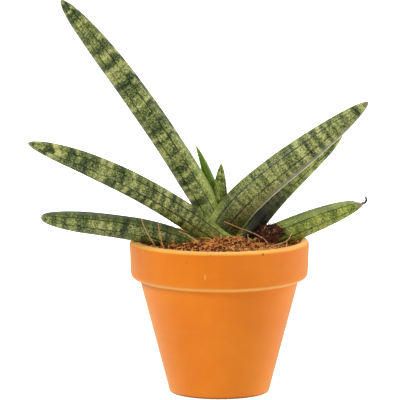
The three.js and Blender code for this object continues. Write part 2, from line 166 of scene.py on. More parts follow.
BAND_FOOT = POT_HEIGHT - BAND_HEIGHT + 1.2  # a little higher than in the CAD
BAND_FOOT_ROUNDING = 3.9
BAND_CREASE_ROUNDING = 2
LIP_OUTER_ROUNDING = 2.8
BASE_ROUNDING = 1.8
FURROWS = 8  # lengthwise grooves round a leaf
FURROW_DEPTH = 0.26
FURROW_WIDTH = 0.42
FURROWS_FROM = 0.12  # the share of the way along from where the furrows are at their full depth
SWELLING = 0.22
NICK_DEPTH = 1.2
LEAF_SIDES = 120
LEAF_STEPS = 150
POT_SEGMENTS = 192
MIX_RINGS = 60
MIX_SIDES = 160
MIX_SUNK = 0.9  # how far the body of the mix lies under its loose chips
CHIP_LAYERS = ((-0.5, 1500), (0.1, 1500), (0.7, 900))  # height and count
HAIR_COUNT = 620
HEAP_COUNT = 900
HEAP_SHRINK = 0.85  # the dark lump under the heap's loose chips

# Loose fibres, as in the CAD model: z from the lip, and x and y on a mix of PLACED_ON_RADIUS.
FIBRE_RADIUS = 0.32
PLACED_ON_RADIUS = 49
FIBRES = {
    "coir_fibre_01": [(-37, -23, -5), (-40.5, -22, 1.5), (-44, -22, 7), (-46.5, -22, 12.5),
                      (-48.5, -22, 18), (-55, -22, 28)],
    "coir_fibre_02": [(-33, -25, -5), (-35, -25.5, 2), (-36.5, -25, 8), (-37.5, -24.5, 14)],
    "coir_fibre_03": [(-10, -21, -4), (-14, -20.5, 2), (-19, -20, 5.5), (-25, -21, 8)],
    "coir_fibre_04": [(31, -17, -4), (27, -18, 3), (18, -19, 7.5), (9, -18, 11), (3, -16, 13.5)],
    "coir_fibre_05": [(18, -20, -5), (17.6, -20.5, 1.5), (17.2, -19.8, 6)],
    "coir_fibre_06": [(27, -22, -5), (33, -22, -0.5), (40, -20, 1.5), (44, -17, 6)],
    "coir_fibre_07": [(39, -19, -6), (40.5, -20, -2), (41, -19.6, 1.4)],
    "coir_fibre_08": [(-8, 30, -5), (-12, 33, 3), (-20, 36, 7), (-27, 36, 5), (-31, 33, -4)],
    "coir_fibre_09": [(14, 34, -5), (18, 37, 3), (25, 38, 8), (30, 36, 13)],
}

random.seed(7)
noise.seed_set(7)


# ---- Mesh helpers ----


def smoothstep(low, high, value):
    share = np.clip((value - low) / (high - low), 0, 1)
    return share * share * (3 - 2 * share)


def unit(vector):
    return vector / np.linalg.norm(vector)


def make_piece(name, points, faces, material, replaces=(), smooth=True):
    """A mesh object from points in millimetres about the pot's axis, riding on the one body."""
    mesh = bpy.data.meshes.new(name)
    mesh.from_pydata((np.asarray(points) * MM + AXIS).tolist(), [], faces)
    mesh.validate()
    mesh.polygons.foreach_set("use_smooth", [smooth] * len(mesh.polygons))
    mesh.materials.append(material)
    piece = bpy.data.objects.new(name, mesh)
    bpy.context.scene.collection.objects.link(piece)
    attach(piece, "root")
    if replaces:
        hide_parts(*replaces)
    return piece


def add_vectors(piece, name, values):
    """Stores one vector per vertex for the material to read."""
    attribute = piece.data.attributes.new(name, "FLOAT_VECTOR", "POINT")
    attribute.data.foreach_set("vector", np.asarray(values, dtype=float).ravel())


def skin(rings, first=0):
    """Faces over rings of equally many points, closed by a fan at each end.

    rings is (how many rings, points in each). The two end points follow the rings.
    """
    count, sides = rings
    faces = []
    for ring in range(count - 1):
        low = first + ring * sides
        high = low + sides
        for side in range(sides):
            after = (side + 1) % sides
            faces.append((low + side, low + after, high + after, high + side))
    foot = first + count * sides
    last = first + (count - 1) * sides
    for side in range(sides):
        after = (side + 1) % sides
        faces.append((foot, first + after, first + side))
        faces.append((foot + 1, last + side, last + after))
    return faces


def rounded_outline(corners, steps=6):
    """A closed outline with its corners rounded. Each corner is (x, y, rounding)."""
    points = []
    for i, (x, y, rounding) in enumerate(corners):
        here = np.array((x, y), dtype=float)
        if not rounding:
            points.append(here)
            continue
        back = unit(np.array(corners[i - 1][:2]) - here)
        on = unit(np.array(corners[(i + 1) % len(corners)][:2]) - here)
        half = math.acos(np.clip(back @ on, -1, 1)) / 2
        centre = here + unit(back + on) * rounding / math.sin(half)
        start = here + back * rounding / math.tan(half) - centre
        end = here + on * rounding / math.tan(half) - centre
        turn = math.atan2(start[0] * end[1] - start[1] * end[0], start @ end)
        for step in range(steps + 1):
            angle = turn * step / steps
            cos, sin = math.cos(angle), math.sin(angle)
            points.append(centre + (start[0] * cos - start[1] * sin, start[0] * sin + start[1] * cos))
    return np.array(points)


def tube(points, radii, sides=6):
    """Points and faces of a tube along points, with a radius at each and a pointed end."""
    points = np.asarray(points, dtype=float)
    tangents = np.gradient(points, axis=0)
    ring_points = []
    normal = unit(np.cross(tangents[0], (0.3, 0.2, 0.93)))
    for point, tangent, radius in zip(points, tangents, radii):
        tangent = unit(tangent)
        normal = unit(normal - (normal @ tangent) * tangent)
        binormal = np.cross(tangent, normal)
        for side in range(sides):
            angle = 2 * math.pi * side / sides
            ring_points.append(point + radius * (math.cos(angle) * normal + math.sin(angle) * binormal))
    ring_points.extend((points[0], points[-1] + unit(tangents[-1]) * radii[-1]))
    return ring_points, skin((len(points), sides))


def smooth_line(points, count):
    """A Catmull-Rom line through the points, at count even steps."""
    points = np.asarray(points, dtype=float)
    padded = np.vstack([2 * points[0] - points[1], points, 2 * points[-1] - points[-2]])
    line = []
    for place in np.linspace(0, len(points) - 1, count):
        i = min(int(place), len(points) - 2)
        t = place - i
        a, b, c, d = padded[i : i + 4]
        square = 2 * a - 5 * b + 4 * c - d
        cube = 3 * b - a - 3 * c + d
        line.append(0.5 * (2 * b + (c - a) * t + square * t**2 + cube * t**3))
    return np.array(line)


# ---- Material helpers ----


def linear(red, green, blue):
    """An sRGB colour in 0 to 255 as the linear colour that a shader takes."""
    channels = (c / 255 for c in (red, green, blue))
    return (*(c / 12.92 if c <= 0.04045 else ((c + 0.055) / 1.055) ** 2.4 for c in channels), 1)


class Nodes:
    """A material's node tree, with one short call for each kind of node."""

    def __init__(self, name, roughness):
        self.material = bpy.data.materials.new(name)
        self.material.use_nodes = True
        self.tree = self.material.node_tree
        self.shader = self.tree.nodes["Principled BSDF"]
        self.shader.inputs["Roughness"].default_value = roughness

    def put(self, kind, inputs=(), **settings):
        node = self.tree.nodes.new(kind)
        for key, value in settings.items():
            setattr(node, key, value)
        for socket, value in dict(inputs).items():
            self.set(node.inputs[socket], value)
        return node

    def set(self, socket, value):
        if isinstance(value, bpy.types.NodeSocket):
            self.tree.links.new(value, socket)
        elif value is not None:
            socket.default_value = value

    def math(self, operation, first, second=None, third=None):
        node = self.put("ShaderNodeMath", operation=operation)
        for socket, value in zip(node.inputs, (first, second, third)):
            self.set(socket, value)
        return node.outputs[0]

    def attribute(self, name):
        """A stored vector's three numbers."""
        vector = self.put("ShaderNodeAttribute", attribute_name=name).outputs["Vector"]
        return self.put("ShaderNodeSeparateXYZ", {0: vector}).outputs

    def vector(self, x=0.0, y=0.0, z=0.0):
        return self.put("ShaderNodeCombineXYZ", {0: x, 1: y, 2: z}).outputs[0]

    def place(self):
        return self.put("ShaderNodeTexCoord").outputs["Object"]

    def noise(self, vector, scale, detail=2.0, roughness=0.5, distortion=0.0):
        inputs = {
            "Vector": vector, "Scale": scale, "Detail": detail,
            "Roughness": roughness, "Distortion": distortion,
        }
        return self.put("ShaderNodeTexNoise", inputs).outputs["Fac"]

    def mix(self, factor, first, second, blend="MIX"):
        node = self.put("ShaderNodeMix", data_type="RGBA", blend_type=blend)
        for socket, value in ((0, factor), (6, first), (7, second)):
            self.set(node.inputs[socket], value)
        return node.outputs[2]

    def ramp(self, factor, stops, easing="LINEAR"):
        node = self.put("ShaderNodeValToRGB", {0: factor})
        elements = node.color_ramp.elements
        node.color_ramp.interpolation = easing
        while len(elements) < len(stops):
            elements.new(0.5)
        for element, (position, colour) in zip(elements, stops):
            element.position = position
            element.color = colour
        return node.outputs[0]

    def between(self, value, low, high):
        """0 below low and 1 above high, smooth in between. low may be the larger one."""
        node = self.put("ShaderNodeMapRange", interpolation_type="SMOOTHSTEP")
        flip = low > high
        numbers = (value, min(low, high), max(low, high), float(flip), 1 - flip)
        for socket, number in zip(node.inputs, numbers):
            self.set(socket, number)
        return node.outputs[0]

    def times(self, first, second):
        return self.math("MULTIPLY", first, second)

    def sheen(self, weight, roughness, tint):
        self.shader.inputs["Sheen Weight"].default_value = weight
        self.shader.inputs["Sheen Roughness"].default_value = roughness
        self.shader.inputs["Sheen Tint"].default_value = tint

    def finish(self, colour, height=None, bump_mm=0.1, roughness=None):
        self.set(self.shader.inputs["Base Color"], colour)
        self.set(self.shader.inputs["Roughness"], roughness)
        if height is not None:
            bump = self.put("ShaderNodeBump", {"Height": height, "Distance": bump_mm * MM, "Strength": 1.0})
            self.set(self.shader.inputs["Normal"], bump.outputs[0])
        return self.material


# ---- Materials ----


SCRATCH = (-8.8, -54.5, 79)
# The pale colour of the painted highlights on the lip and the band's foot, and of the real scratch.
PAINTED_HIGHLIGHT_AND_SCRATCH = linear(255, 196, 88)


def terracotta():
    """Fired clay: a warm orange with a fine grain and one short pale scratch, with painted highlights on the
    lip and the band's foot.

    A few dark specks lie by the lip, and the very foot has painted shade.
    """
    nodes = Nodes("terracotta", 0.62)
    nodes.shader.inputs["Specular IOR Level"].default_value = 0.2
    nodes.sheen(0.72, 0.46, linear(255, 216, 168))
    place = nodes.place()
    high = nodes.put("ShaderNodeSeparateXYZ", {0: place}).outputs["Z"]

    cloud = nodes.noise(place, 28, 4, 0.6)
    clay_stops = ((0.3, linear(226, 118, 6)), (0.52, linear(230, 124, 8)), (0.72, linear(234, 132, 18)))
    colour = nodes.ramp(cloud, clay_stops)
    stretched = nodes.put("ShaderNodeMapping", {"Vector": place, "Scale": (1, 1, 6)}).outputs[0]
    turning = nodes.noise(stretched, 60, 3, 0.5)
    turning_mark = nodes.times(nodes.between(turning, 0.55, 0.75), 0.05)
    colour = nodes.mix(turning_mark, colour, linear(246, 170, 98))

    # Painted highlights on the lip's top and on the band's rounded foot, and a real pale scratch.
    band_foot_highlight = nodes.times(
        nodes.between(high, (BAND_FOOT - 1.6) * MM, (BAND_FOOT - 0.4) * MM),
        nodes.between(high, (BAND_FOOT + 2.0) * MM, (BAND_FOOT + 0.7) * MM),
    )
    lip_highlight = nodes.between(high, (POT_HEIGHT - 2.4) * MM, (POT_HEIGHT - 0.8) * MM)
    highlights_and_scratch = nodes.math("MAXIMUM", nodes.times(band_foot_highlight, 0.6), nodes.times(lip_highlight, 0.8))
    to_scratch = [-c for c in AXIS + np.array(SCRATCH) * MM]
    from_scratch = nodes.put("ShaderNodeMapping", {"Vector": place, "Location": to_scratch}).outputs[0]
    squashed = nodes.put("ShaderNodeMapping", {"Vector": from_scratch, "Scale": (4, 0.5, 0.9)}).outputs[0]
    away = nodes.put("ShaderNodeVectorMath", {0: squashed}, operation="LENGTH").outputs["Value"]
    highlights_and_scratch = nodes.math("MAXIMUM", highlights_and_scratch, nodes.times(nodes.between(away, 0.0022, 0.0012), 0.5))
    colour = nodes.mix(highlights_and_scratch, colour, PAINTED_HIGHLIGHT_AND_SCRATCH)

    # Painted shade on the very foot, where the base's rounding turns under towards the floor.
    foot_painted_shade = nodes.times(nodes.between(high, 1.7 * MM, 0.5 * MM), 0.85)
    colour = nodes.mix(foot_painted_shade, colour, linear(70, 28, 8))
    specks = nodes.put("ShaderNodeTexVoronoi", {"Vector": place, "Scale": 150.0}).outputs["Distance"]
    by_the_lip = nodes.between(high, (POT_HEIGHT - 8) * MM, (POT_HEIGHT - 5) * MM)
    rare = nodes.times(nodes.between(nodes.noise(place, 75, 1), 0.54, 0.58), by_the_lip)
    speck = nodes.times(nodes.between(specks, 0.16, 0.08), rare)
    colour = nodes.mix(nodes.times(speck, 0.75), colour, linear(128, 62, 26))
    grain = nodes.noise(place, 2200, 3, 0.6)
    colour = nodes.mix(nodes.times(nodes.between(grain, 0.45, 0.75), 0.3), colour, linear(206, 98, 8))

    height = nodes.math("ADD", nodes.times(grain, 0.5), nodes.times(turning, 0.3))
    roughness = nodes.math("MULTIPLY_ADD", cloud, 0.2, 0.48)
    return nodes.finish(colour, height, 0.09, roughness)


FURROW_COLOUR = linear(16, 26, 8)
# The painted highlight along the edge where a leaf clasps another, standing in for light on that edge.
CLASP_HIGHLIGHT_COLOUR = linear(160, 174, 84)


class LeafSkin:
    """Waxy green, with dark furrows and speckled pale bands that shift from one strip to the next.

    The leaf's place holds the cosine and sine of the angle round it and the way along it in millimetres.
    Its marks hold the millimetres to the tip and the nearness of the edge where it clasps another leaf.
    """

    def __init__(self, name, seed):
        self.seed = seed
        self.look = {**PLAIN_SKIN, **SKINS[name]}
        self.nodes = nodes = Nodes(name, 0.42)
        self.cos, sin, self.along = nodes.attribute("place")
        self.to_tip, self.clasp, _ = nodes.attribute("marks")
        self.angle = nodes.math("ARCTAN2", sin, self.cos)
        self.turn = nodes.math("MULTIPLY_ADD", self.angle, FURROWS / (2 * math.pi), FURROWS + 0.5)
        self.strip = nodes.math("FLOOR", self.turn)
        place = nodes.place()
        self.ragged = nodes.noise(place, 420, 3, 0.65)
        self.speckle = nodes.noise(place, 1100, 4, 0.8)
        self.fine = nodes.noise(place, 4200, 2, 0.6)

    def material(self):
        nodes = self.nodes
        colour = self.with_foot(self.banded())
        if self.look["young"] > 0.8:
            fresh = nodes.mix(self.fine, linear(70, 104, 16), linear(112, 148, 34))
            colour = nodes.mix(0.75, colour, fresh)
        # A painted highlight where the leaf clasps another.
        colour = nodes.mix(self.clasp, colour, CLASP_HIGHLIGHT_COLOUR)
        colour = self.with_furrows(colour)
        if self.look["margin"] is not None:
            colour = self.with_margin(colour)
        colour = self.with_withered_tip(colour)

        height = nodes.math("MULTIPLY_ADD", self.speckle, 0.6, nodes.times(self.fine, 0.4))
        roughness = nodes.math("MULTIPLY_ADD", self.fine, 0.18, 0.4)
        nodes.shader.inputs["Specular IOR Level"].default_value = 0.32
        nodes.sheen(0.05, 0.3, linear(232, 230, 196))
        return nodes.finish(colour, height, 0.12, roughness)

    def banded(self):
        """Bands across the leaf with speckled edges, a little shifted and changed from strip to strip."""
        nodes, look, seed = self.nodes, self.look, self.seed
        shift = nodes.noise(nodes.vector(nodes.math("MULTIPLY_ADD", self.strip, 7.13, seed)), 1.0, 0)
        frayed = nodes.math("MULTIPLY_ADD", self.ragged, 5.0, self.along)
        shifted = nodes.math("MULTIPLY_ADD", shift, 9.0, frayed)
        shared = nodes.noise(nodes.vector(seed * 1.7, shifted), 0.2, 2, 0.55)
        shared = nodes.math("MULTIPLY_ADD", shared, look["bands"], 0.5 - 0.5 * look["bands"])
        own_place = nodes.vector(nodes.math("MULTIPLY_ADD", self.strip, 3.71, seed), self.along)
        own = nodes.noise(own_place, 0.24, 1, 0.5)
        streak = nodes.noise(nodes.vector(nodes.times(self.turn, 5.0), self.along, seed), 0.9, 2, 0.6)
        value = nodes.math("MULTIPLY_ADD", shared, 0.38, nodes.times(own, 0.12))
        value = nodes.math("MULTIPLY_ADD", self.speckle, 0.44, value)
        value = nodes.math("MULTIPLY_ADD", streak, 0.06, value)
        value = nodes.math("ADD", value, look["tone"])

        young = look["young"]
        dark = linear(22, 34 + 26 * young, 12)
        middle = linear(66 + 16 * young, 82 + 26 * young, 34 - 6 * young)
        pale = linear(140 + 10 * young, 148 + 18 * young, 76 - 36 * young)
        palest = linear(204 - 10 * young, 206, 132 - 60 * young)
        colour = nodes.ramp(value, ((0.438, dark), (0.476, middle), (0.52, pale), (0.57, palest)))
        colour = nodes.mix(nodes.times(self.fine, 0.2), colour, linear(64, 78, 30))
        # Painted light on the upper side: reflected sheen on one leaf, shade on another.
        if look["top"] is not None:
            upper = nodes.between(nodes.math("MULTIPLY_ADD", self.ragged, 0.3, self.cos), 0.35, 0.85)
            colour = nodes.mix(nodes.times(upper, 0.6), colour, linear(*look["top"]))
        return colour

    def with_foot(self, colour):
        """Towards the foot the markings fade into a mottle, with a painted highlight on the side that faces
        the crown.
        """
        nodes, look = self.nodes, self.look
        base_end, reach = look["base_end"], look["painted_highlight"]
        mottle = nodes.between(self.speckle, 0.38, 0.64)
        frayed = nodes.math("MULTIPLY_ADD", self.ragged, 14.0, self.along)
        base = nodes.between(frayed, base_end, base_end * 0.4)
        plain = nodes.mix(mottle, linear(*look["base"]), linear(*look["base_pale"]))
        colour = nodes.mix(nodes.times(base, 0.94), colour, plain)
        # A painted highlight on the side that faces the crown, near the foot.
        inward = nodes.between(nodes.math("MULTIPLY_ADD", self.ragged, 0.5, self.cos), 0.3, 1.2)
        painted_highlight_share = nodes.times(inward, nodes.between(self.along, reach, reach * 0.4))
        painted_highlight = nodes.mix(mottle, linear(112, 138, 36), linear(214, 222, 122))
        return nodes.mix(painted_highlight_share, colour, painted_highlight)

    def with_furrows(self, colour):
        nodes = self.nodes
        across = nodes.math("FRACT", self.turn)
        off_line = nodes.math("MINIMUM", across, nodes.math("SUBTRACT", 1.0, across))
        line = nodes.between(off_line, 0.075, 0.02)
        wear = nodes.noise(nodes.vector(self.strip, self.along, self.seed), 0.06, 1)
        faint = nodes.between(wear, 0.3, 0.55)
        line = nodes.times(line, nodes.math("MULTIPLY_ADD", faint, 0.5, 0.45))
        return nodes.mix(line, colour, FURROW_COLOUR)

    def with_margin(self, colour):
        """The channel's pale edge, with a painted grey sheen in a strip beside it."""
        nodes = self.nodes
        from_margin = nodes.math("SUBTRACT", math.radians(self.look["margin"]), self.angle)
        beside = nodes.times(nodes.between(from_margin, 0.62, 0.3), nodes.between(self.along, 28, 60))
        painted_sheen_strip = nodes.times(beside, nodes.between(from_margin, -0.08, 0.0))
        # The strip's grey is a painted sheen along the leaf's side.
        grey = nodes.mix(self.fine, linear(112, 112, 86), linear(160, 156, 128))
        colour = nodes.mix(nodes.times(painted_sheen_strip, 0.7), colour, grey)
        edge = nodes.between(nodes.math("ABSOLUTE", from_margin), 0.09, 0.05)
        edge = nodes.times(edge, nodes.between(self.along, 24, 40))
        return nodes.mix(edge, colour, linear(250, 246, 216))

    def with_withered_tip(self, colour):
        nodes, dry = self.nodes, self.look["dry"]
        to_tip = nodes.math("MULTIPLY_ADD", self.ragged, 1.5, self.to_tip)
        wither = nodes.between(to_tip, dry + 1.6, dry * 0.5)
        return nodes.mix(wither, colour, nodes.mix(self.fine, linear(96, 84, 62), linear(176, 160, 128)))


def tinted(name, stops, roughness, grain_scale, bump_mm):
    """Loose dry matter whose pieces each have their own tint, from the first number of the tint vector."""
    nodes = Nodes(name, roughness)
    own = nodes.attribute("tint")[0]
    grain = nodes.noise(nodes.place(), grain_scale, 4, 0.65)
    value = nodes.math("MULTIPLY_ADD", grain, 0.5, nodes.math("MULTIPLY_ADD", own, 0.8, -0.15))
    return nodes.finish(nodes.ramp(value, stops), grain, bump_mm)


def mix_ground():
    """The dark body of the mix under the loose chips."""
    nodes = Nodes("mix_ground", 0.95)
    grain = nodes.noise(nodes.place(), 700, 5, 0.7)
    stops = ((0.35, linear(34, 12, 4)), (0.55, linear(96, 44, 18)), (0.7, linear(170, 92, 42)))
    return nodes.finish(nodes.ramp(grain, stops), grain, 1.2)


CHIP_STOPS = (
    (0.14, linear(38, 13, 4)),
    (0.32, linear(132, 62, 20)),
    (0.5, linear(216, 122, 42)),
    (0.7, linear(246, 170, 76)),
    (0.95, linear(252, 208, 130)),
)
HEAP_STOPS = (
    (0.2, linear(14, 6, 3)),
    (0.42, linear(40, 17, 7)),
    (0.65, linear(104, 55, 25)),
    (0.9, linear(214, 146, 90)),
)
FIBRE_STOPS = (
    (0.2, linear(150, 94, 50)),
    (0.5, linear(200, 142, 88)),
    (0.85, linear(232, 190, 140)),
)


# ---- Pot ----


def body_radius(z):
    slope = (BODY_TOP_RADIUS - BASE_RADIUS) / (POT_HEIGHT - BAND_HEIGHT)
    return BASE_RADIUS + slope * z


def inside_radius(z):
    return body_radius(z) - WALL


def make_pot():
    outline = rounded_outline([
        (DRAIN_RADIUS, 0, 0.6),
        (BASE_RADIUS, 0, BASE_ROUNDING),
        (body_radius(BAND_FOOT), BAND_FOOT, BAND_CREASE_ROUNDING),
        (BAND_FOOT_RADIUS, BAND_FOOT, BAND_FOOT_ROUNDING),
        (RIM_RADIUS, POT_HEIGHT, LIP_OUTER_ROUNDING),
        (inside_radius(POT_HEIGHT), POT_HEIGHT, LIP_ROUNDING),
        (inside_radius(FLOOR), FLOOR, FLOOR_ROUNDING),
        (DRAIN_RADIUS, FLOOR, 0.6),
    ])
    outline = split_long(outline, 3.0)
    angles = 2 * np.pi * np.arange(POT_SEGMENTS) / POT_SEGMENTS
    radius, height = outline[:, 0], outline[:, 1]
    points = np.stack([
        np.outer(np.cos(angles), radius),
        np.outer(np.sin(angles), radius),
        np.tile(height, (POT_SEGMENTS, 1)),
    ], axis=2).reshape(-1, 3)
    count = len(outline)
    faces = []
    for turn in range(POT_SEGMENTS):
        here = turn * count
        beside = (turn + 1) % POT_SEGMENTS * count
        for step in range(count):
            after = (step + 1) % count
            faces.append((here + step, beside + step, beside + after, here + after))
    make_piece("clay_pot", points, faces, terracotta(), ["terracotta_pot"])


def split_long(outline, longest):
    """The closed outline with its long sides divided evenly."""
    points = []
    for here, after in zip(outline, np.roll(outline, -1, axis=0)):
        parts = max(1, math.ceil(np.linalg.norm(after - here) / longest))
        points.extend(here + (after - here) * part / parts for part in range(parts))
    return np.array(points)


# ---- Leaves ----


def leaf_line(leaf, steps):
    """The shares of the way along a leaf at even steps, its centre line there, and its sides and ups."""
    heading = math.radians(leaf["azimuth"])
    share = np.linspace(0, 1, steps + 1)
    climb = np.radians(leaf["tip_rise"] + (leaf["rise"] - leaf["tip_rise"]) * (1 - share) ** leaf["bend"])
    along = np.stack([
        math.cos(heading) * np.cos(climb),
        math.sin(heading) * np.cos(climb),
        np.sin(climb),
    ], axis=1)
    across = np.array((math.sin(heading), -math.cos(heading), 0))
    foot = CROWN + leaf["foot"]
    at = foot + np.vstack([np.zeros(3), np.cumsum(along[1:], axis=0) * leaf["length"] / steps])
    up = np.cross(across, along)
    return share, at, across, up


def leaf_fullness(leaf, share):
    filling = FOOT_TAPER * (1 - smoothstep(0, FOOT_SHARE, share))
    return (1 - filling) * (1 - share ** leaf["point"]) ** (1 / leaf["blunt"])


def leaf_points(leaf, sides, steps, seed):
    """The points of a leaf's skin, ring by ring, and what the material reads at each."""
    fine = 8 * steps
    share, at, across, up = leaf_line(leaf, fine)
    even = np.arange(steps + 1) / (steps + 1)
    picked = np.round((1 - (1 - even) ** 1.4) * fine).astype(int)
    share, at, up = share[picked], at[picked], up[picked]
    full = leaf_fullness(leaf, share)
    clasp = leaf["sheath"] * np.maximum(0, 1 - share / FOOT_SHARE) ** 2
    half_width = full * leaf["width"] / 2 + clasp
    half_thick = full * leaf["thick"] / 2

    angle = 2 * np.pi * np.arange(sides) / sides
    from_top = np.abs((angle + np.pi) % (2 * np.pi) - np.pi)
    channel = CHANNEL_DEPTH * np.cos(np.minimum(from_top / CHANNEL_WIDTH, 1) * np.pi / 2) ** 2

    # The furrows, shallower towards both ends, and slow swellings along the leaf.
    turn = (angle * FURROWS / (2 * np.pi) + 0.5) % 1
    off_line = np.minimum(turn, 1 - turn) * np.pi * leaf["width"] / FURROWS
    groove = np.exp(-(off_line / FURROW_WIDTH) ** 2)
    depth = FURROW_DEPTH * np.minimum(1, full * 1.1) * smoothstep(0, FURROWS_FROM, share)
    around = [(math.cos(a) * 0.8 + seed, math.sin(a) * 0.8) for a in angle]
    heights = share * leaf["length"] * 0.05
    swelling = np.array([[noise.noise((x, y, height)) for x, y in around] for height in heights])
    inward = depth[:, None] * groove[None, :] - SWELLING * swelling * full[:, None]

    width = (half_width[:, None] - inward) * np.sin(angle)
    thick = (half_thick[:, None] - inward) * np.cos(angle) - half_thick[:, None] * channel
    if "nick" in leaf:
        nick = NICK_DEPTH * smoothstep(leaf["nick"], leaf["nick"] + 0.015, share)
        thick -= np.maximum(np.cos(angle), 0) * nick[:, None]
    points = at[:, None, :] + width[:, :, None] * across + thick[:, :, None] * up[:, None, :]
    millimetres = share * leaf["length"]
    place = np.stack(np.broadcast_arrays(np.cos(angle), np.sin(angle), millimetres[:, None]), axis=2)
    nothing = 0 * angle
    marks = np.stack(np.broadcast_arrays(leaf["length"] - millimetres[:, None], nothing, nothing), axis=2)
    return points, place, marks


def lip_height(reach):
    """The height of the lip's rounded top at distances from the axis, and far down off the lip."""
    from_edge = np.minimum(reach - inside_radius(POT_HEIGHT), RIM_RADIUS - reach)
    back = np.clip(LIP_ROUNDING - from_edge, 0, LIP_ROUNDING)
    height = POT_HEIGHT - LIP_ROUNDING + np.sqrt(LIP_ROUNDING**2 - back**2)
    return np.where(from_edge > 0, height, -1000)


def lift_to_lip(points):
    """How far a leaf's points are raised to lie on the pot's lip."""
    return (lip_height(np.hypot(points[..., 0], points[..., 1])) + REST_GAP - points[..., 2]).max()


def make_leaves():
    """The leaves from the innermost out. Each one's clasping edge has a painted highlight where it meets
    those inside.

    Gives each leaf's tip.
    """
    inner = []
    tips = {}
    for seed, (name, leaf) in enumerate(LEAVES.items()):
        points, place, marks = leaf_points(leaf, LEAF_SIDES, LEAF_STEPS, seed * 7.3)
        if leaf.get("rests_on_lip"):
            points[..., 2] += lift_to_lip(points)
        flat = points.reshape(-1, 3)
        ends = np.array([points[0].mean(axis=0), 2 * points[-1].mean(axis=0) - points[-2].mean(axis=0)])
        faces = skin(points.shape[:2])
        edge = clasp_edge(flat, inner)
        place = np.vstack([place.reshape(-1, 3), (1, 0, 0), (1, 0, leaf["length"])])
        marks = np.vstack([marks.reshape(-1, 3), (leaf["length"], 0, 0), (0, 0, 0)])
        marks[: len(flat), 1] = edge
        everything = np.vstack([flat, ends])
        material = LeafSkin(name, seed * 5.3 + 1.7).material()
        piece = make_piece(name + "_skin", everything, faces, material, [name])
        add_vectors(piece, "place", place)
        add_vectors(piece, "marks", marks)
        inner.append(BVHTree.FromPolygons(everything.tolist(), faces))
        tips[name] = ends[1]
    return tips


def make_dry_curl(tip):
    """The shrivelled end of a leaf's tip, curled up over it."""
    steps = 12
    route = np.array([(-1.5, 0, 0), (0.2, 0, 0.2), (1.2, -0.2, 1.8), (0.8, -0.3, 3.8)])
    points, faces = tube(smooth_line(tip + route, steps), np.linspace(0.75, 0.6, steps), 10)
    material = tinted("dry_curl", HEAP_STOPS, 0.9, 900, 0.1)
    make_loose("dry_curl", [(points, faces, 0.1)], material, smooth=True)


def clasp_edge(points, inner, reach=0.8):
    """1 at points that lie on the skin of a leaf further in, and 0 from reach millimetres off."""
    edge = np.zeros(len(points))
    for tree in inner:
        for i, point in enumerate(points):
            distance = tree.find_nearest(point.tolist(), reach)[3]
            if distance is not None:
                edge[i] = max(edge[i], 1 - distance / reach)
    return edge


# ---- Potting mix ----


MIX_RADIUS = inside_radius(POT_HEIGHT - MIX_BELOW_LIP) - GAP  # at its top edge


def mix_top(x, y):
    """The height of the mix's top at a place."""
    from_edge = 1 - np.minimum(1, np.hypot(x, y) / MIX_RADIUS) ** 4
    from_crown = np.hypot(x - CROWN[0], y - CROWN[1]) / MIX_MOUND_RADIUS
    bumps = np.sin(0.31 * x + 0.9) * np.cos(0.27 * y - 0.4) + np.sin(0.19 * (x + 2 * y))
    from_pile = np.hypot((x - PILE_CENTRE[0]) / PILE_REACH[0], (y - PILE_CENTRE[1]) / PILE_REACH[1])
    heaped = MIX_MOUND * np.exp(-(from_crown**2)) + PILE_HEIGHT * np.exp(-(from_pile**2))
    return POT_HEIGHT - MIX_BELOW_LIP + from_edge * (heaped + MIX_BUMP * bumps)


def make_mix():
    """The body of the mix: a lumpy top over a plain side and bottom."""
    bottom = FLOOR + GAP
    profile = [
        (inside_radius(bottom) - GAP - FLOOR_ROUNDING, bottom),
        (inside_radius(bottom + FLOOR_ROUNDING) - GAP, bottom + FLOOR_ROUNDING),
    ]
    angles = [2 * math.pi * side / MIX_SIDES for side in range(MIX_SIDES)]
    points = []
    for radius, height in profile:
        points.extend((radius * math.cos(angle), radius * math.sin(angle), height) for angle in angles)
    for ring in range(MIX_RINGS):
        radius = MIX_RADIUS * (1 - ring / MIX_RINGS)
        for angle in angles:
            x, y = radius * math.cos(angle), radius * math.sin(angle)
            lump = noise.fractal((x * 0.35, y * 0.35, 4), 0.8, 2, 4) if ring else 0
            points.append((x, y, mix_top(x, y) - MIX_SUNK + 0.8 * lump))
    points.append((0, 0, bottom))
    points.append((0, 0, mix_top(0, 0) - MIX_SUNK))
    faces = skin((MIX_RINGS + len(profile), MIX_SIDES))
    make_piece("mix_body", points, faces, mix_ground(), ["potting_mix"])


def chip_shape(length, width):
    """A split chip about the origin: an uneven bar of five sides that tapers at both ends."""
    rings, sides = 4, 5
    points = []
    lean = random.uniform(-0.3, 0.3)
    for ring in range(rings):
        share = ring / (rings - 1) - 0.5
        size = width * (0.5 if ring in (0, rings - 1) else 1) * random.uniform(0.7, 1.2) / 2
        for side in range(sides):
            angle = 2 * math.pi * (side + random.uniform(-0.25, 0.25)) / sides
            x = share * length
            points.append((x, size * math.cos(angle) + lean * share * length, 0.6 * size * math.sin(angle)))
    points.append((-0.5 * length * random.uniform(1, 1.15), -0.5 * lean * length, 0))
    points.append((0.5 * length * random.uniform(1, 1.15), 0.5 * lean * length, 0))
    return np.array(points), skin((rings, sides))


def any_angle():
    return random.uniform(0, 2 * math.pi)


def turned_any_way(points, tilt):
    """The points rolled and turned about Z at random, with a random pitch of about tilt radians between."""
    pitch, roll, yaw = random.gauss(0, tilt), any_angle(), any_angle()
    turn = np.eye(3)
    for angle, axis in ((roll, "X"), (pitch, "Y"), (yaw, "Z")):
        turn = np.array(Matrix.Rotation(angle, 3, axis)) @ turn
    return points @ turn.T


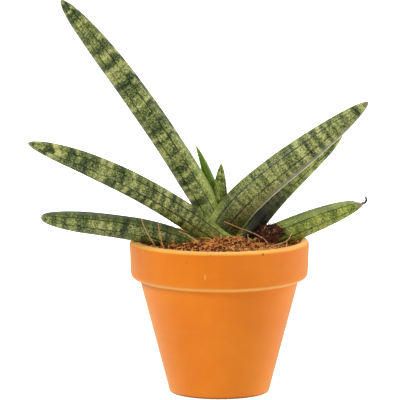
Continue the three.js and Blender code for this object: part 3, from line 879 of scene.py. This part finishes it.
def any_place(reach):
    """A random place within reach of the pot's axis."""
    radius = reach * math.sqrt(random.random())
    angle = any_angle()
    return radius * math.cos(angle), radius * math.sin(angle)


def join_shapes(shapes):
    """Many (points, faces, tint) as one list of points, faces and tints."""
    points, faces, tints = [], [], []
    for shape_points, shape_faces, tint in shapes:
        first = len(points)
        points.extend(shape_points)
        faces.extend(tuple(first + corner for corner in face) for face in shape_faces)
        tints.extend([(tint, 0, 0)] * len(shape_points))
    return points, faces, tints


def make_loose(name, shapes, material, replaces=(), smooth=False):
    points, faces, tints = join_shapes(shapes)
    piece = make_piece(name, points, faces, material, replaces, smooth)
    add_vectors(piece, "tint", tints)


def make_chips():
    """The loose top of the mix: small chips thrown over it, thickest in three overlapping layers."""
    shapes = []
    for layer, count in CHIP_LAYERS:
        for _ in range(count):
            x, y = any_place(MIX_RADIUS - 1)
            length = random.choice((1.1, 1.6, 2.2, 3.0)) * random.uniform(0.8, 1.3)
            points, faces = chip_shape(length, random.uniform(0.5, 1.2))
            points = turned_any_way(points, 0.5)
            points += (x, y, mix_top(x, y) - 0.4 + layer + random.uniform(-0.3, 0.3))
            tint = min(1, max(0, random.gauss(0.5 + 0.25 * layer, 0.26)))
            shapes.append((points, faces, tint))
    chips = tinted("coir_chips", CHIP_STOPS, 0.85, 1800, 0.25)
    make_loose("coir_chips", shapes, chips)


def make_bark():
    """The larger chips, each where the CAD has it."""
    bark = tinted("bark", CHIP_STOPS, 0.85, 900, 0.4)
    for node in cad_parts:
        if not node.startswith("bark_chip"):
            continue
        low, high = (np.array(corner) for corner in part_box(node))
        centre = ((low + high) / 2 - AXIS) / MM
        size = (high - low) / MM
        points, faces = chip_shape(max(size[:2]) * 0.95, min(size[:2]) * 0.6)
        points = turned_any_way(points, 0.15) + centre
        make_loose(node + "_split", [(points, faces, random.uniform(0.35, 0.95))], bark, [node])


def curl(start, heading, length, curl_size, climb):
    """A short fibre's line that wanders from start."""
    point = np.array(start, dtype=float)
    direction = np.array((math.cos(heading), math.sin(heading), climb))
    line = [point]
    bend = random.uniform(-1, 1) * curl_size
    steps = 8
    for _ in range(steps):
        shake = (random.gauss(0, 0.18), random.gauss(0, 0.18), random.gauss(-0.05, 0.14))
        direction = unit(direction + shake)
        turn = np.array((-direction[1], direction[0], 0)) * bend
        direction = unit(direction + turn)
        point = point + direction * length / steps
        line.append(point)
    return line


def make_hairs():
    """Fine coir hairs among the chips."""
    shapes = []
    edge_radius = MIX_RADIUS - 1.5
    for _ in range(HAIR_COUNT):
        x, y = any_place(edge_radius)
        start = (x, y, mix_top(x, y) - 0.2)
        line = curl(start, any_angle(), random.uniform(3, 11), 0.25, random.uniform(0.05, 0.7))
        line = [p for p in line if math.hypot(p[0], p[1]) < edge_radius + 1]
        if len(line) < 4:
            continue
        radii = np.linspace(0.16, 0.07, len(line)) * random.uniform(0.8, 1.5)
        points, faces = tube(line, radii, 4)
        shapes.append((points, faces, random.uniform(0.2, 1)))
    hairs = tinted("coir_hairs", CHIP_STOPS, 0.8, 900, 0.05)
    make_loose("coir_hairs", shapes, hairs, smooth=True)


def make_fibres():
    """The long dry fibres, kinked and tapered, where the CAD has them."""
    material = tinted("dry_fibre", FIBRE_STOPS, 0.7, 500, 0.06)
    spread = MIX_RADIUS / PLACED_ON_RADIUS
    for node, route in FIBRES.items():
        line = smooth_line(np.array(route) * (spread, spread, 1) + (0, 0, POT_HEIGHT), 40)
        wander = np.array([noise.noise_vector((p[0] * 0.16, p[1] * 0.16, p[2] * 0.16)) for p in line])
        line = line + 0.7 * wander * np.linspace(0.2, 1, len(line))[:, None]
        radii = FIBRE_RADIUS * np.linspace(1, 0.55, len(line))
        radii *= [1 + 0.25 * noise.noise((p[2] * 0.9, p[0] * 0.9, 5)) for p in line]
        points, faces = tube(line, radii, 8)
        shapes = [(points, faces, random.uniform(0.4, 0.9))]
        make_loose(node + "_dry", shapes, material, [node], smooth=True)


def make_heap():
    """The heap of coir by the low right leaf: chips and hairs over a dark lump."""
    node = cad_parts["coir_heap"]
    corners = (np.array([v.co for v in node.data.vertices]) - AXIS) / MM
    faces = [tuple(p.vertices) for p in node.data.polygons]
    tree = BVHTree.FromPolygons(corners.tolist(), faces)
    centre = corners.mean(axis=0)
    sunk = centre + (corners - centre) * HEAP_SHRINK
    make_piece("coir_heap_body", sunk, faces, mix_ground(), ["coir_heap"])
    shapes = []
    for _ in range(HEAP_COUNT):
        outward = unit(np.array((random.gauss(0, 1), random.gauss(0, 1), abs(random.gauss(0, 1)))))
        start = centre + outward * 40
        hit = tree.ray_cast(start.tolist(), (-outward).tolist())
        if hit[0] is None:
            continue
        spot = np.array(hit[0]) - outward * random.uniform(0, 1.8)
        if random.random() < 0.3:
            line = curl(spot, any_angle(), random.uniform(2, 7), 0.4, random.uniform(0, 0.8))
            points, shape_faces = tube(line, np.linspace(0.16, 0.06, len(line)), 4)
        else:
            points, shape_faces = chip_shape(random.uniform(1, 3.4), random.uniform(0.4, 1.1))
            points = turned_any_way(points, 0.7) + spot
        shapes.append((points, shape_faces, min(1, max(0, random.gauss(0.46, 0.28)))))
    material = tinted("heap_chips", HEAP_STOPS, 0.9, 1500, 0.2)
    make_loose("coir_heap_chips", shapes, material)


# ---- Hidden pieces ----


def dress_hidden():
    """The rhizome and roots stay as the CAD has them, with a fleshy skin."""
    nodes = Nodes("root_skin", 0.6)
    grain = nodes.noise(nodes.place(), 600, 4, 0.6)
    stops = ((0.3, linear(176, 134, 78)), (0.6, linear(214, 180, 122)), (0.8, linear(232, 206, 156)))
    material = nodes.finish(nodes.ramp(grain, stops), grain, 0.2)
    for name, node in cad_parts.items():
        if name == "rhizome" or name.startswith("root_"):
            node.data.materials.clear()
            node.data.materials.append(material)


# ---- Camera, light and floor ----

CAMERA_DISTANCE = 4.0
CAMERA_RISE = 8.3  # degrees above the horizon
FIELD = 0.2438  # metres across the view at the plant
SENSOR = 36
AIM_LEFT = 0.0118  # metres from the pot's axis to what the camera looks at
AIM_HEIGHT = 0.1182
FLOOR_REACH = 6
SURROUND_RADIUS = 9
SKY_GREYS = ((0.3, 0.98), (0.48, 0.33), (0.8, 0.08))  # from straight down at 0 to straight up at 1


def make_camera():
    camera = bpy.data.objects.new("camera", bpy.data.cameras.new("camera"))
    bpy.context.scene.collection.objects.link(camera)
    rise = math.radians(CAMERA_RISE)
    aim = Vector(AXIS) + Vector((-AIM_LEFT, 0, AIM_HEIGHT))
    camera.location = aim + CAMERA_DISTANCE * Vector((0, -math.cos(rise), math.sin(rise)))
    camera.rotation_euler = (math.pi / 2 - rise, 0, 0)
    camera.data.sensor_width = SENSOR
    camera.data.lens = SENSOR * CAMERA_DISTANCE / FIELD
    camera.data.clip_end = 20
    bpy.context.scene.camera = camera


def make_light(name, place, size, power, aim=(0, 0, 0.12)):
    lamp = bpy.data.lights.new(name, "AREA")
    lamp.shape = "RECTANGLE"
    lamp.size, lamp.size_y = size
    lamp.energy = power
    light = bpy.data.objects.new(name, lamp)
    bpy.context.scene.collection.objects.link(light)
    light.location = place
    light.rotation_euler = (Vector(aim) - Vector(place)).to_track_quat("-Z", "Y").to_euler()


def make_backdrop(name, mesh, glow, far_glow):
    """A white stage piece that only the camera sees, so it throws no light of its own on the plant.

    It glows a little less by the pot, where the pot's shadow shows on it.
    """
    backdrop = bpy.data.objects.new(name, mesh)
    bpy.context.scene.collection.objects.link(backdrop)
    nodes = Nodes(name, 0.9)
    nodes.shader.inputs["Emission Color"].default_value = (1, 1, 1, 1)
    away = nodes.put("ShaderNodeVectorMath", {0: nodes.place()}, operation="LENGTH").outputs["Value"]
    strength = nodes.math("MULTIPLY_ADD", nodes.between(away, 0.1, 0.7), far_glow - glow, glow)
    nodes.set(nodes.shader.inputs["Emission Strength"], strength)
    mesh.materials.append(nodes.finish((0.9, 0.9, 0.9, 1)))
    backdrop.visible_diffuse = False
    backdrop.visible_glossy = False
    backdrop.visible_shadow = False


def make_studio():
    """A white floor in a white surround, five lamps, and a soft light that is brightest from below."""
    floor = bpy.data.meshes.new("floor")
    corners = [(-FLOOR_REACH, -FLOOR_REACH, 0), (FLOOR_REACH, -FLOOR_REACH, 0)]
    corners += [(FLOOR_REACH, FLOOR_REACH, 0), (-FLOOR_REACH, FLOOR_REACH, 0)]
    floor.from_pydata(corners, [], [(0, 1, 2, 3)])
    make_backdrop("floor", floor, 0.68, 1.2)
    bubble = bmesh.new()
    bmesh.ops.create_icosphere(bubble, subdivisions=3, radius=SURROUND_RADIUS)
    bmesh.ops.reverse_faces(bubble, faces=bubble.faces)
    surround = bpy.data.meshes.new("surround")
    bubble.to_mesh(surround)
    make_backdrop("surround", surround, 1.2, 1.2)

    make_light("key", (-0.95, -1.05, 1.1), (0.45, 0.45), 17)
    make_light("front", (0.8, -1.6, 0.1), (0.9, 0.3), 6)
    make_light("top", (0.2, 0.7, 1.6), (0.7, 0.7), 12)
    make_light("rim_left", (-1.2, 0.5, 0.7), (0.5, 0.9), 9)
    make_light("rim_right", (1.3, 0.3, 0.6), (0.6, 0.9), 15)
    make_sky()
    bpy.context.scene.view_settings.view_transform = "Standard"


def make_sky():
    world = bpy.data.worlds.new("studio")
    world.use_nodes = True
    tree = world.node_tree
    direction = tree.nodes.new("ShaderNodeTexCoord").outputs["Generated"]
    height = tree.nodes.new("ShaderNodeSeparateXYZ")
    from_below = tree.nodes.new("ShaderNodeMapRange")
    from_below.inputs["From Min"].default_value = -1
    sky = tree.nodes.new("ShaderNodeValToRGB")
    tree.links.new(direction, height.inputs[0])
    tree.links.new(height.outputs["Z"], from_below.inputs[0])
    tree.links.new(from_below.outputs[0], sky.inputs[0])
    tree.links.new(sky.outputs[0], tree.nodes["Background"].inputs[0])
    elements = sky.color_ramp.elements
    elements.new(0.5)
    for element, (position, grey) in zip(elements, SKY_GREYS):
        element.position = position
        element.color = (grey, grey, grey, 1)
    tree.nodes["Background"].inputs[1].default_value = 1.0
    bpy.context.scene.world = world


make_camera()
make_studio()
make_pot()
leaf_tips = make_leaves()
make_dry_curl(leaf_tips["leaf_low_right"])
make_mix()
make_chips()
make_bark()
make_hairs()
make_fibres()
make_heap()
dress_hidden()
